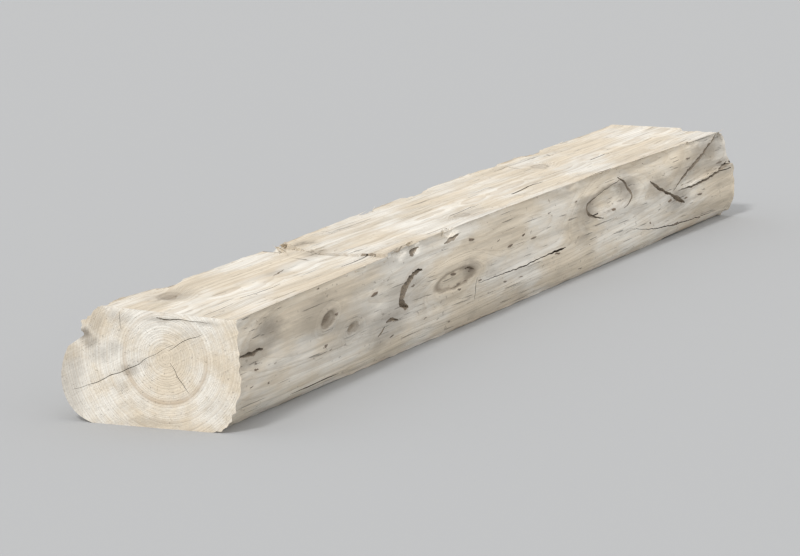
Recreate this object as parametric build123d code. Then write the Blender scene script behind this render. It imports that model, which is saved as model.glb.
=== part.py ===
from build123d import *
from math import atan2, degrees
import os

# A hewn railway sleeper: a log, sawn square at both ends and hewn flat above and below.
# X runs along the sleeper from its near end to its far end, Y across it to the left, Z up.
# All sizes are in millimetres, and the base stands on Z = 0.
length = 2438.0
near_thickness = 186.0
far_thickness = 178.0

# Width of the top face at the near end, at its waist and at the far end
near_width = 222.0
waist_width = 206.0
far_width = 236.0

# How far the right edge of the top face bows in at mid-length
right_bow = 22.0

# How far the left edge of the top face turns out at the near end, and over what length
left_flare = 24.0
flare_length = 200.0

# How far each rounded side stands out past the edge of the top face
near_right_belly = 6.0
far_right_belly = 30.0
near_left_belly = 74.0
far_left_belly = 38.0

# How far the foot of each side lies out from the edge of the top face; in is negative
near_right_foot = -37.0
middle_right_foot = 6.0
far_right_foot = -6.0
near_left_foot = 20.0
middle_left_foot = 14.0
far_left_foot = 8.0

# How high the fullest part of each side lies
near_right_belly_height = 108.0
far_right_belly_height = 74.0
left_belly_height = 66.0

# How flat a side starts at its foot, and how much it leans in at the edge of the top face:
# 1 is in line with the fullest part, and more is rounder
foot_roundness = 5.0
near_edge_roundness = 1.3
far_edge_roundness = 2.0

# The near part of the top face was hewn lower: its length, and how far its right edge lies down
near_hewing_length = 660.0
near_hewing_fall = 8.0

# The axe notch where the lower hewing begins, at the left edge of the top face
notch_length = 62.0
notch_depth = 14.0
notch_reach = 105.0
notch_skew = 38.0

# The seam along the left side, open at the near end and closing along the log
seam_height = 139.0
seam_mouth = 34.0
seam_depth = 24.0
seam_length = 940.0
seam_inset = 20.0  # how far the skin at the seam lies in from the fullest part of the side
seam_close = 10.0  # how high the seam's cutting shape still is where it ends, outside the skin

# Openings in the right side: place from the near end, height above the base, size along,
# across and into the wood, and lean in degrees
end_slit = dict(place=62.0, height=116.0, long=92.0, wide=8.0, deep=16.0, lean=-1.0)
near_knot = dict(place=368.0, height=119.0, long=66.0, wide=26.0, deep=20.0, lean=0.0)
lower_knot = dict(place=466.0, height=88.0, long=58.0, wide=16.0, deep=12.0, lean=3.0)
gash = dict(place=751.0, height=111.0, long=108.0, wide=22.0, deep=30.0, lean=28.0)
far_check = dict(place=2046.0, height=97.0, long=150.0, wide=12.0, deep=18.0, lean=-20.0)

spare = 40.0  # what a cutting shape or the raw log has over, outside the finished sleeper


def along(near, far, share):
    """A size that changes evenly from the near end to the far end."""
    return near + (far - near) * share


def through(near, middle, far, share):
    """A size that bends evenly through its values at the near end, mid-length and the far end."""
    return near + (4 * middle - 3 * near - far) * share + 2 * (near + far - 2 * middle) * share**2


def top_height(share):
    """The height of the hewn top face, which slopes down to the far end."""
    return along(near_thickness, far_thickness, share)


def right_edge(share):
    """The right edge of the top face, from the line through its two ends."""
    return right_bow * 4 * share * (1 - share)


def flare(share):
    """How far the left edge of the top face turns out here."""
    return left_flare * max(0, 1 - share * length / flare_length)


def face_width(share):
    """The width of the top face: from the near end to its waist, and on to the far end."""
    waist_share = 1 / 3
    if share < waist_share:
        return along(near_width, waist_width, share / waist_share)
    return along(waist_width, far_width, (share - waist_share) / (1 - waist_share))


def side_line(edge, out, belly, belly_height, foot, edge_roundness):
    """One side of the raw log, from below its foot to above its edge; out is 1 for left, -1 for right."""
    foot_point = (edge + out * foot, 0)
    belly_point = (edge + out * belly, belly_height)
    edge_point = (edge, near_thickness)
    foot_tangent = (out * foot_roundness * (belly - foot), belly_height)
    edge_tangent = (-out * edge_roundness * belly, near_thickness - belly_height)
    lower = Line((foot_point[0], -spare), foot_point)
    curve = Spline(foot_point, belly_point, edge_point, tangents=[foot_tangent, edge_tangent])
    upper = Line(edge_point, (edge, near_thickness + spare))
    return lower, curve, upper


def log_section(share):
    """The raw log's outline at a share of its length."""
    right = right_edge(share)
    left = right + face_width(share) + flare(share)
    edge_roundness = along(near_edge_roundness, far_edge_roundness, share)
    right_side = side_line(
        right,
        -1,
        along(near_right_belly, far_right_belly, share),
        along(near_right_belly_height, far_right_belly_height, share),
        through(near_right_foot, middle_right_foot, far_right_foot, share),
        edge_roundness,
    )
    left_side = side_line(
        left,
        1,
        along(near_left_belly, far_left_belly, share) - flare(share),
        left_belly_height,
        through(near_left_foot, middle_left_foot, far_left_foot, share) - flare(share),
        edge_roundness,
    )
    top = Line(right_side[2] @ 1, left_side[2] @ 1)
    bottom = Line(left_side[0] @ 0, right_side[0] @ 0)
    outline = Curve() + [*right_side, top, *left_side, bottom]
    return Plane.YZ.offset(length * share) * make_face(outline)


def raw_log():
    """The peeled log, sawn to length."""
    return loft([log_section(share) for share in (0, flare_length / length, 1 / 3, 2 / 3, 1)])


def hewn_faces():
    """What the axe took off above the top face and below the bottom face."""
    size = (length + 2 * spare, 4 * far_width, 2 * spare)
    slope = degrees(atan2(near_thickness - far_thickness, length))
    above = Pos(-spare) * Box(*size, align=(Align.MIN, Align.CENTER, Align.MIN))
    below = Pos(-spare) * Box(*size, align=(Align.MIN, Align.CENTER, Align.MAX))
    return Pos(Z=near_thickness) * Rot(Y=slope) * above + below


def near_hewing():
    """The lower, tilted hewing at the near end of the top face."""
    tilt = degrees(atan2(near_hewing_fall, near_width))
    size = (near_hewing_length + spare, 4 * near_width, 2 * spare)
    slab = Box(*size, align=(Align.MIN, Align.CENTER, Align.MIN))
    return Pos(-spare, 0, near_thickness - near_hewing_fall) * Rot(X=tilt) * slab


def axe_notch():
    """The skewed notch at the left edge, deepest at the edge and running out across the face."""
    near_side = (-3 * notch_length, 2 * spare)
    near_lip = (-notch_length, notch_depth)
    profile = Polyline((0, 0), (0, 2 * spare), near_side, near_lip, close=True)
    prism = extrude(Plane.XZ * make_face(profile), notch_reach + 2 * spare, both=True)
    slope = degrees(atan2(notch_depth, notch_reach))
    share = near_hewing_length / length
    edge = right_edge(share) + face_width(share)
    place = Pos(near_hewing_length, edge, top_height(share) - notch_depth)
    return place * Rot(Z=-notch_skew) * Rot(X=-slope) * prism


def side_at(place, out):
    """Where the fullest part of a side lies, at a distance from the near end."""
    share = place / length
    if out < 0:
        return right_edge(share) - along(near_right_belly, far_right_belly, share)
    return right_edge(share) + face_width(share) + along(near_left_belly, far_left_belly, share)


def wedge_face(place, tip, reach, height):
    """A triangle across the log at the seam's height, with its tip in the wood."""
    upper = (tip + reach, seam_height + height / 2)
    lower = (tip + reach, seam_height - height / 2)
    outline = Polyline((tip, seam_height), upper, lower, close=True)
    return Plane.YZ.offset(place) * make_face(outline)


def seam():
    """The groove along the left side, which closes at the end of the seam."""
    near_tip = side_at(0, 1) - seam_inset - seam_depth
    near_reach = seam_depth + seam_inset + spare
    near_face = wedge_face(-spare, near_tip, near_reach, seam_mouth * near_reach / seam_depth)
    far_face = wedge_face(seam_length, side_at(seam_length, 1), spare, seam_close)
    return loft([near_face, far_face])


def side_opening(place, height, long, wide, deep, lean):
    """A knot hole, check or gash in the right side, as a round-ended slot."""
    mouth = side_at(place, -1)
    slot = extrude(Plane.XZ * Rot(Z=lean) * SlotOverall(long, wide), deep + spare)
    return Pos(place, mouth + deep, height) * slot


def sleeper():
    """The finished sleeper, with the middle of its base at the origin."""
    body = raw_log() - hewn_faces() - near_hewing() - axe_notch() - seam()
    for opening in (end_slit, near_knot, lower_knot, gash, far_check):
        body -= side_opening(**opening)
    box = body.bounding_box()
    return Pos(-box.center().X, -box.center().Y, -box.min.Z) * body


os.makedirs("parts", exist_ok=True)
part = sleeper()
export_step(part, "parts/sleeper.step")
print(part.bounding_box())
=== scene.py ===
import bmesh
import bpy
import itertools
import math
import numpy as np
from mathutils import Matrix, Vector
from mathutils.bvhtree import BVHTree


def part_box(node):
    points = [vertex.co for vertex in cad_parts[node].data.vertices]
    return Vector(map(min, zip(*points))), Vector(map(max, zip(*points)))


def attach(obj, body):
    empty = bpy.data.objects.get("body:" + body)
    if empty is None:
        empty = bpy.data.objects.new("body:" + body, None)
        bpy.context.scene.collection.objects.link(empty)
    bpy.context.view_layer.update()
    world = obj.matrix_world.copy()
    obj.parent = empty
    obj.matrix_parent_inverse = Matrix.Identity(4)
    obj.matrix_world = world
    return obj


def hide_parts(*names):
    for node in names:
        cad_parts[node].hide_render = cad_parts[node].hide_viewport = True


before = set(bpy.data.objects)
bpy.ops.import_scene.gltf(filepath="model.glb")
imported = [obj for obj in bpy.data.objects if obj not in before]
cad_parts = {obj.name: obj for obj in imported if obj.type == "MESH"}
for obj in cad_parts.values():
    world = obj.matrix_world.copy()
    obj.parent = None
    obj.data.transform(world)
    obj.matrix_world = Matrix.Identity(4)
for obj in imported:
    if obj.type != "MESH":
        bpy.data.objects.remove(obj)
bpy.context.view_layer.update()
print("frame loaded")

scene = bpy.context.scene
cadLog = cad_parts["sleeper"]
logLow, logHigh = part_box("sleeper")
nearEnd, farEnd = logLow.x, logHigh.x
logLength = farEnd - nearEnd


# Helpers for node trees, used by the shapes and by the materials

def wire(tree, source, target):
    if isinstance(source, bpy.types.NodeSocket):
        tree.links.new(source, target)
    else:
        target.default_value = source


def addNode(tree, kind, inputs=None, **settings):
    node = tree.nodes.new(kind)
    for name, value in settings.items():
        setattr(node, name, value)
    for name, value in (inputs or {}).items():
        wire(tree, value, node.inputs[name])
    return node


def calc(tree, operation, *values):
    return addNode(tree, "ShaderNodeMath", dict(enumerate(values)), operation=operation).outputs[0]


def product(tree, total, *others):
    for other in others:
        total = calc(tree, "MULTIPLY", total, other)
    return total


def vectorCalc(tree, operation, *values, output=0):
    node = addNode(tree, "ShaderNodeVectorMath", dict(enumerate(values)), operation=operation)
    return node.outputs[output]


def scaled(tree, vector, factor):
    return addNode(tree, "ShaderNodeVectorMath", {0: vector, "Scale": factor}, operation="SCALE").outputs[0]


def centred(tree, vector):
    return vectorCalc(tree, "SUBTRACT", vector, (0.5, 0.5, 0.5))


def combined(tree, *values):
    return addNode(tree, "ShaderNodeCombineXYZ", dict(enumerate(values))).outputs[0]


def ramp(tree, value, low, high, outLow=0.0, outHigh=1.0):  # a smooth step from low to high
    inputs = {0: value, 1: low, 2: high, 3: outLow, 4: outHigh}
    return addNode(tree, "ShaderNodeMapRange", inputs, interpolation_type="SMOOTHSTEP").outputs[0]


def noise(tree, place, fineness, detail=3.0, roughness=0.55, output="Fac"):
    point = vectorCalc(tree, "MULTIPLY", place, fineness)
    inputs = {"Vector": point, "Scale": 1.0, "Detail": detail, "Roughness": roughness}
    return addNode(tree, "ShaderNodeTexNoise", inputs).outputs[output]


def drift(tree, place, fineness, detail, roughness):  # noise in all three directions, about zero
    return centred(tree, noise(tree, place, fineness, detail, roughness, "Color"))


def mixColour(tree, factor, first, second, blend="MIX"):
    node = addNode(tree, "ShaderNodeMix", data_type="RGBA", blend_type=blend)
    for socket, value in ((0, factor), (6, first), (7, second)):
        wire(tree, value, node.inputs[socket])
    return node.outputs[2]


def socketKind(value):
    kinds = {float: "Float", int: "Int", str: "String", tuple: "Vector", type(None): "Geometry"}
    return "NodeSocket" + kinds[type(value)]


def newTree(name, kind, inputs, outputs):  # the kind of each socket follows from its first value
    tree = bpy.data.node_groups.new(name, kind)
    for socketName, value in inputs.items():
        socket = tree.interface.new_socket(socketName, in_out="INPUT", socket_type=socketKind(value))
        if value is not None:
            socket.default_value = value
    for socketName, value in outputs.items():
        tree.interface.new_socket(socketName, in_out="OUTPUT", socket_type=socketKind(value))
    return tree, tree.nodes.new("NodeGroupInput").outputs, tree.nodes.new("NodeGroupOutput").inputs


def putOut(tree, made, values):
    for name, value in values.items():
        tree.links.new(value, made[name])
    return tree


# Helpers for values in tables and points in arrays

def table(columns, *rows):  # a dictionary for each row
    return [dict(zip(columns.split(", "), row)) for row in rows]


def smooth(value, low, high):
    share = np.clip((value - low) / (high - low), 0, 1)
    return share * share * (3 - 2 * share)


def softNoise(points, seed):  # smooth noise from about -1 to 1, one cell a unit
    rng = np.random.default_rng(seed)
    order = rng.permutation(256)
    slopes = rng.normal(size=(256, 3))
    slopes /= np.linalg.norm(slopes, axis=1, keepdims=True)
    cell = np.floor(points).astype(int)
    inside = points - cell
    fade = inside**3 * (inside * (inside * 6 - 15) + 10)
    total = np.zeros(points.shape[:-1])
    for corner in itertools.product((0, 1), repeat=3):
        key = cell + corner
        index = order[(order[(order[key[..., 0] % 256] + key[..., 1]) % 256] + key[..., 2]) % 256]
        weight = np.where(corner, fade, 1 - fade).prod(-1)
        total += ((inside - corner) * slopes[index]).sum(-1) * weight
    return total * 1.6


def grainNoise(points, along, across, seed):  # stretched along the log
    return softNoise(points / np.array([along, across, across]), seed)


# Making and finishing objects

def makeObject(name, data, *materials):
    for material in materials:
        data.materials.append(material)
    thing = bpy.data.objects.new(name, data)
    scene.collection.objects.link(thing)
    return thing


def newMaterial(name):
    material = bpy.data.materials.new(name)
    material.use_nodes = True
    tree = material.node_tree
    return material, tree, tree.nodes["Principled BSDF"].inputs


def addTree(thing, tree, values):  # inputs are set by each socket's identifier, found from its name
    modifier = thing.modifiers.new(tree.name, "NODES")
    modifier.node_group = tree
    for item in tree.interface.items_tree:
        if item.in_out == "INPUT" and item.name in values:
            modifier[item.identifier] = values[item.name]


def bakeDown(thing):  # turns the modifiers' result into a plain mesh
    bpy.context.view_layer.update()
    graph = bpy.context.evaluated_depsgraph_get()
    mesh = bpy.data.meshes.new_from_object(thing.evaluated_get(graph), depsgraph=graph)
    thing.modifiers.clear()
    thing.data = mesh
    mesh.name = thing.name


def shadeSmooth(thing, degrees):
    thing.data.polygons.foreach_set("use_smooth", [True] * len(thing.data.polygons))
    thing.data.set_sharp_from_angle(angle=math.radians(degrees))


# Camera, lamps and floor

studio = {
    "cameraPlace": (-6.829, -2.6835, 1.269),
    "cameraAim": (-0.0377, 0.0732, 0.0482),
    "lens": 185.0,
    "sensorWidth": 36.0,
    "lightPath": (0.70, -0.05, -0.71),  # the way the key light falls
    "keyStrength": 1.50,
    "keySoftness": 9.0,  # degrees
    "skyStrength": 0.86,
    "floorColour": (0.44, 0.445, 0.45, 1.0),
    "floorRoughness": 0.95,
    "floorSize": 60.0,
}


def aimed(way):  # the turn that points a camera or a lamp that way
    return Vector(way).to_track_quat("-Z", "Y").to_euler()


def makeCamera():
    data = bpy.data.cameras.new("camera")
    data.sensor_width = studio["sensorWidth"]
    data.lens = studio["lens"]
    data.clip_end = 200.0
    camera = makeObject("camera", data)
    camera.location = studio["cameraPlace"]
    camera.rotation_euler = aimed(Vector(studio["cameraAim"]) - camera.location)
    scene.camera = camera


def makeLights():
    lamp = bpy.data.lights.new("key", "SUN")
    lamp.energy = studio["keyStrength"]
    lamp.angle = math.radians(studio["keySoftness"])
    makeObject("key", lamp).rotation_euler = aimed(studio["lightPath"])
    world = bpy.data.worlds.new("studio")
    world.use_nodes = True
    background = world.node_tree.nodes["Background"].inputs
    background["Color"].default_value = (1.0, 1.0, 1.0, 1.0)
    background["Strength"].default_value = studio["skyStrength"]
    scene.world = world
    scene.view_settings.view_transform = "Standard"


def makeFloor():
    half = studio["floorSize"] / 2
    mesh = bpy.data.meshes.new("floor")
    corners = [(-half, -half, 0), (half, -half, 0), (half, half, 0), (-half, half, 0)]
    mesh.from_pydata(corners, [], [(0, 1, 2, 3)])
    material, _, shader = newMaterial("floor")
    shader["Base Color"].default_value = studio["floorColour"]
    shader["Roughness"].default_value = studio["floorRoughness"]
    floor = makeObject("floor", mesh, material)


makeCamera()
makeLights()
makeFloor()
print("camera, lights and floor ready")


# The log's own form, read from the frame: x along it, y to its left, z up

form = {
    "rowStep": 0.0105,  # between the rows of points along the log
    "fineStep": 0.0045,  # between rows near the fine places, which are from the near end
    "fineReach": 0.060,
    "finePlaces": (0.0, 0.145, 0.368, 0.466, 0.655, 0.750, 0.950, 1.650, 1.830, 2.438),
    "topColumns": 70,
    "sideColumns": 64,
    "bottomColumns": 38,
    "endRings": 17,
    "endInset": 0.003,  # the sawn ends stand this far inside the frame's, to leave room for splinters
    # from the near end, where the right side has no opening and shows its plain form
    "clearPlaces": (0.004, 0.200, 0.285, 0.560, 0.640, 0.900, 1.150, 1.400, 1.650, 1.900, 2.200, 2.434),
    "topSink": 0.0008,  # the hewn top lies this far inside the frame's, to leave room for fibres
    "edgeLines": {-1: -0.130, 1: 0.092},  # y of the right and left edge of the top face, roughly
    "pith": (-0.0165, 0.112),  # y and z of the log's heart
}

score = {
    "place": 0.655,  # where the axe scored the top face before the lower hewing, from the near end
    "bends": ((-0.135, 0.663), (-0.065, 0.642), (-0.014, 0.625), (0.035, 0.655), (0.090, 0.692)),  # y, place
    "wall": 0.0006,  # half of what its step takes along the log
    "blend": 0.060,  # how far the side spreads the step
    # dirt here is how dark the painted shade on the step at the score is
    "dirt": 0.45,
}


def surfaceOf(mesh):
    return BVHTree.FromPolygons([v.co for v in mesh.vertices], [tuple(p.vertices) for p in mesh.polygons])


hull = surfaceOf(cadLog.data)


def skinAt(x, z, side):  # side is 1 for the left, -1 for the right
    x = min(max(x, nearEnd + 0.001), farEnd - 0.001)
    return hull.ray_cast(Vector((x, side, z)), Vector((0, -side, 0)))[0].y


rayways = {  # for each face, where a ray starts and the way it runs
    "right": (lambda a, b: (nearEnd + a, -1, b), (0, 1, 0)),
    "left": (lambda a, b: (nearEnd + a, 1, b), (0, -1, 0)),
    "top": (lambda a, b: (nearEnd + a, b, 1), (0, 0, -1)),
    "near": (lambda a, b: (-3, a, b), (1, 0, 0)),
    "far": (lambda a, b: (3, a, b), (-1, 0, 0)),
}


def spotOn(face, first, second):
    start, way = rayways[face]
    return hull.ray_cast(Vector(start(first, second)), Vector(way))[0]


def planeThrough(spots):  # the height at any place of the plane through three spots on the log
    heights = [hull.ray_cast(Vector((x, y, 1.0)), Vector((0, 0, -1)))[0].z for x, y in spots]
    slopeAlong, slopeAcross, base = np.linalg.solve([[x, y, 1.0] for x, y in spots], heights)
    return lambda x, y: slopeAlong * x + slopeAcross * y + base


upperFace = planeThrough([(0.2, 0.0), (1.0, 0.05), (1.0, -0.05)])
lowerFace = planeThrough([(-1.1, -0.05), (-0.7, -0.05), (-0.9, -0.10)])


def scoreLine(y):
    bends = np.array(score["bends"])
    return nearEnd + np.interp(y, bends[:, 0], bends[:, 1])


def topAt(x, y):  # the hewn top, with the lower hewing at the near end
    upper = upperFace(x, y)
    return np.where(x < scoreLine(y), np.minimum(lowerFace(x, y), upper), upper) - form["topSink"]


def rowPlaces():
    fine = np.array(form["finePlaces"])
    places = [0.0]
    while places[-1] < logLength:
        away = min(np.abs(fine - places[-1]).min() / form["fineReach"], 1.0)
        places.append(places[-1] + form["fineStep"] + (form["rowStep"] - form["fineStep"]) * away)
    places = np.array(places) * (logLength - 2 * form["endInset"]) / places[-1] + form["endInset"]
    wall = [score["place"] - score["wall"], score["place"] + score["wall"]]
    apart = np.abs(places - score["place"]) > form["fineStep"] / 2
    return nearEnd + np.sort(np.concatenate([places[apart], wall]))


def crowded(count):  # shares from 0 to 1, closer together at both ends
    share = np.arange(count + 1) / count
    return share - 0.5 * np.sin(2 * math.pi * share) / (2 * math.pi)


def sideTop(x, y, up):  # the height that a side is drawn to: it steps at the score only near its top edge
    upper = upperFace(x, y)
    lower = np.minimum(lowerFace(x, y), upper)
    line = scoreLine(y)
    even = lower + (upper - lower) * smooth(x, line - score["blend"], line + score["blend"]) - form["topSink"]
    return even + (topAt(x, y) - even) * smooth(up, 0.84, 1.0)


def followScore(rows, y, fade):  # rows near the score bend to run along it
    centre = nearEnd + score["place"]
    near = 1 - smooth(np.abs(rows - centre), 0.03, 0.30)
    return rows + (scoreLine(y) - centre) * near * fade


def sidePoints(rows, share, side):  # the right side is drawn even, from places clear of the openings in it
    line = form["edgeLines"][side]
    stations = nearEnd + np.array(form["clearPlaces"])
    points = np.zeros((len(rows), len(share), 3))
    for column, up in enumerate(share):
        x = followScore(rows, line, smooth(up, 0.5, 1.0))
        tops = sideTop(x, line, up)
        clear = min(max(up, 0.005), 0.995)
        if side < 0:
            skin = [skinAt(place, top * clear, side) for place, top in zip(stations, topAt(stations, line))]
            y = np.polynomial.Polynomial.fit(stations, skin, 3)(x)
        else:
            y = [skinAt(place, top * clear, side) for place, top in zip(x, tops)]
        points[:, column] = np.stack([x, y, tops * up], axis=-1)
    return points


def logGrid():
    rows = rowPlaces()
    share = crowded(form["sideColumns"])
    right = sidePoints(rows, share, -1)
    left = sidePoints(rows, share, 1)
    across = crowded(form["topColumns"])
    top = np.zeros((len(rows), len(across), 3))
    top[..., 1] = right[:, -1:, 1] + (left[:, -1:, 1] - right[:, -1:, 1]) * across
    top[..., 0] = followScore(rows[:, None], top[..., 1], 1.0)
    top[..., 2] = topAt(top[..., 0], top[..., 1])
    under = crowded(form["bottomColumns"])
    bottom = np.zeros((len(rows), len(under), 3))
    bottom[..., 0] = rows[:, None]
    bottom[..., 1] = left[:, :1, 1] + (right[:, :1, 1] - left[:, :1, 1]) * under
    points = np.concatenate([right[:, :-1], top[:, :-1], left[:, :0:-1], bottom[:, :-1]], axis=1)
    counts = [form["sideColumns"], form["topColumns"], form["sideColumns"], form["bottomColumns"]]
    return points, np.repeat(["right", "top", "left", "bottom"], counts)


def outwards(points):
    alongLog = np.gradient(points, axis=0)
    around = np.roll(points, -1, 1) - np.roll(points, 1, 1)
    normal = np.cross(alongLog, around)
    return normal / np.maximum(np.linalg.norm(normal, axis=-1, keepdims=True), 1e-12)


# Marks on the log, in metres. A mark on a side is given by its place from the near end and its height, on the
# top face by its place and its y, and on an end by its y and its height.
# A knot's size is from its middle to its edge and its turn in radians. Pit is how deep it is sunk, rim how
# far it stands out, and ring and core how dark it is. Side 1 is the left, face 1 the top, -1 the other one

sideKnots = table(
    "side, place, height, long, tall, pit, rim, turn, ring, core",
    (-1, 0.378, 0.117, 0.029, 0.0115, 0.012, 0.002, 0.2, 0.4, 0.7),
    (-1, 0.477, 0.087, 0.025, 0.0085, 0.008, 0.001, 0.1, 0.3, 0.5),
    (-1, 0.944, 0.096, 0.086, 0.015, 0.002, 0.003, 0.03, 0.55, 0.0),
    (-1, 1.738, 0.127, 0.122, 0.023, 0.003, 0.003, 0.05, 0.26, 0.0),
    (1, 0.52, 0.095, 0.027, 0.015, 0.006, 0.004, -0.1, 0.35, 0.55),
    (1, 1.15, 0.058, 0.07, 0.019, 0.002, 0.003, 0.12, 0.28, 0.0),
    (1, 1.62, 0.112, 0.025, 0.013, 0.011, 0.003, 0.0, 0.4, 0.95),
    (1, 2.16, 0.084, 0.034, 0.013, 0.002, 0.003, -0.2, 0.25, 0.3),
)

faceKnots = table(
    "face, place, y, long, wide, pit, turn, ring, core",
    (1, 0.144, 0.0435, 0.038, 0.017, 0.005, 0.25, 0.25, 0.5),
    (1, 1.13, -0.0665, 0.024, 0.011, 0.001, 0.0, 0.3, 0.2),
    (1, 1.78, 0.0255, 0.032, 0.014, 0.001, 0.1, 0.4, 0.3),
    (-1, 0.61, 0.0155, 0.03, 0.016, 0.001, 0.0, 0.8, 0.5),
    (-1, 1.48, -0.0495, 0.036, 0.015, 0.002, 0.1, 0.7, 0.6),
    (-1, 2.12, 0.0355, 0.026, 0.014, 0.001, -0.1, 0.7, 0.4),
)

stainAndShadePatches = {  # soft grey patches: where they are, their reach both ways on the face, and their strength. Most are stains; some are painted shade, marked below
    "right": [
        (0.14, 0.14, 0.03, 0.01, 0.6), (0.066, 0.116, 0.04, 0.012, 0.5), (0.345, 0.128, 0.05, 0.016, 0.45),
        (0.48, 0.098, 0.06, 0.018, 0.35), (0.64, 0.068, 0.05, 0.018, 0.5), (0.69, 0.1, 0.04, 0.018, 0.4),
        (0.752, 0.11, 0.04, 0.022, 0.35), (1.02, 0.106, 0.022, 0.008, 0.55),
        (1.618, 0.122, 0.032, 0.012, 0.5), (1.85, 0.136, 0.03, 0.014, 0.5),
        (2.02, 0.112, 0.04, 0.012, 0.5), (2.112, 0.08, 0.034, 0.012, 0.6),
        (2.19, 0.127, 0.06, 0.008, 0.45), (2.31, 0.15, 0.07, 0.01, 0.6), (2.39, 0.112, 0.05, 0.01, 0.5),
        # the patches at (1.15, 0.02) and (2.25, 0.03) darken the right side along its foot: painted shade
        (2.37, 0.135, 0.06, 0.03, 0.3), (1.15, 0.02, 0.3, 0.01, 0.2), (2.25, 0.03, 0.12, 0.012, 0.15),
    ],
    "left": [
        # the first three darken the seam along the left side: painted shade in the seam
        (0.08, 0.139, 0.1, 0.006, 0.75), (0.33, 0.139, 0.13, 0.005, 0.65), (0.62, 0.139, 0.13, 0.004, 0.5),
        (1.19, 0.06, 0.06, 0.024, 0.35), (1.62, 0.112, 0.05, 0.02, 0.45), (2.25, 0.12, 0.08, 0.02, 0.35),
    ],
    "top": [
        (0.15, 0.04, 0.035, 0.016, 0.3), (0.625, 0.004, 0.02, 0.01, 0.35),
        (0.714, 0.058, 0.022, 0.008, 0.45), (0.716, -0.118, 0.024, 0.008, 0.45),
        (0.425, -0.02, 0.022, 0.006, 0.3), (1.13, -0.066, 0.05, 0.016, 0.25),
    ],
    "near": [
        # these first two darken the seam where it meets the near end: painted shade in the seam
        (0.122, 0.139, 0.007, 0.006, 0.85), (0.112, 0.128, 0.008, 0.006, 0.55),
        (0.15, 0.075, 0.014, 0.03, 0.38), (0.145, 0.03, 0.012, 0.012, 0.28),
        (0.095, 0.108, 0.01, 0.006, 0.28), (0.072, 0.122, 0.008, 0.006, 0.24),
        (0.104, 0.16, 0.008, 0.012, 0.28), (0.062, 0.17, 0.012, 0.006, 0.22),
        (0.058, 0.06, 0.008, 0.006, 0.18), (0.046, 0.088, 0.009, 0.005, 0.48),
        (0.026, 0.1, 0.012, 0.004, 0.25), (-0.06, 0.15, 0.01, 0.008, 0.12),
        (-0.012, 0.171, 0.016, 0.0028, 0.35), (-0.088, 0.17, 0.01, 0.0024, 0.3),
        (-0.1, 0.04, 0.012, 0.01, 0.12), (0.01, 0.01, 0.024, 0.004, 0.22),
    ],
    "far": [
        (-0.14, 0.11, 0.014, 0.008, 0.5), (0.11, 0.06, 0.014, 0.03, 0.3), (-0.06, 0.16, 0.03, 0.006, 0.25),
        (0.03, 0.02, 0.04, 0.008, 0.25),
    ],
}
patchDepth = 0.08  # how far a patch reaches into the log

fallenSlab = {  # where a thin slab has split off the right side at the far end
    "tip": (2.095, 0.094),  # place and height
    "upperEnd": (2.385, 0.170),
    "lowerEnd": (2.450, 0.112),
    "depth": 0.008,
}

edgeChips = [  # place, y, z, length, width, depth
    (0.0, 0.119, 0.185, 0.12, 0.026, 0.01), (0.03, 0.136, 0.152, 0.09, 0.014, 0.006),
    (0.716, -0.123, 0.181, 0.04, 0.02, 0.007), (0.782, -0.119, 0.18, 0.034, 0.018, 0.008),
    (0.956, -0.118, 0.18, 0.044, 0.018, 0.008), (1.56, -0.12, 0.179, 0.06, 0.012, 0.004),
    (0.24, 0.091, 0.184, 0.06, 0.014, 0.005), (1.08, 0.098, 0.182, 0.07, 0.013, 0.005),
    (1.34, 0.106, 0.18, 0.08, 0.015, 0.006), (1.73, 0.111, 0.179, 0.05, 0.012, 0.004),
    (1.96, 0.113, 0.178, 0.074, 0.016, 0.007), (2.25, -0.133, 0.176, 0.05, 0.012, 0.004),
]

unevenness = {
    "swellDepth": 0.0045,
    "swellLength": 0.42,
    "swellWidth": 0.13,
    "edgeWave": 0.005,
    "edgeWaveLength": 0.14,
    "edgeReach": 5,  # columns to each side of an edge that wear rounds off
    "edgePasses": {"rightTop": 3, "leftTop": 9, "leftFoot": 6, "rightFoot": 5},
    "tearBack": 0.0026,  # how far the saw tore the edges of the ends back along the log
    "tearOut": 0.0080,  # how far torn fibres stand out past the right edge of an end
    "fineTear": 0.009,
    "wideTear": 0.022,
}


def knotCentre(knot):
    x = nearEnd + knot["place"]
    return np.array([x, skinAt(x, knot["height"], knot["side"]), knot["height"]])


def turned(first, second, angle):
    cosine, sine = math.cos(angle), math.sin(angle)
    return first * cosine + second * sine, second * cosine - first * sine


def sculptSideKnots(points, inward):
    rough = 0.14 * grainNoise(points, 0.020, 0.012, 31)
    for knot in sideKnots:
        offset = points - knotCentre(knot)
        longWay, tallWay = turned(offset[..., 0], offset[..., 2], knot["turn"])
        reach = np.hypot(longWay / knot["long"], tallWay / knot["tall"]) + rough
        near = np.abs(offset[..., 1]) < 0.06
        rim = smooth(reach, 0.7, 1.15) * (1 - smooth(reach, 1.15, 2.4))
        inward += near * (knot["pit"] * (1 - smooth(reach, 0.25, 1.0)) - knot["rim"] * rim)


def aboveLine(points, start, end):  # how far above a line on the side a point lies
    slope = (end[1] - start[1]) / (end[0] - start[0])
    return points[..., 2] - start[1] - slope * (points[..., 0] - nearEnd - start[0])


def splitSlab(points, inward):
    below = -aboveLine(points, fallenSlab["tip"], fallenSlab["upperEnd"])
    above = aboveLine(points, fallenSlab["tip"], fallenSlab["lowerEnd"])
    edge = 0.0015 * grainNoise(points, 0.030, 0.008, 34)
    inside = smooth(below + edge, 0.0, 0.003) * smooth(above + edge, 0.0, 0.004)
    away = smooth(points[..., 0] - nearEnd, fallenSlab["tip"][0], fallenSlab["tip"][0] + 0.12)
    inward += fallenSlab["depth"] * inside * away * (points[..., 1] < -0.05)


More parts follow.
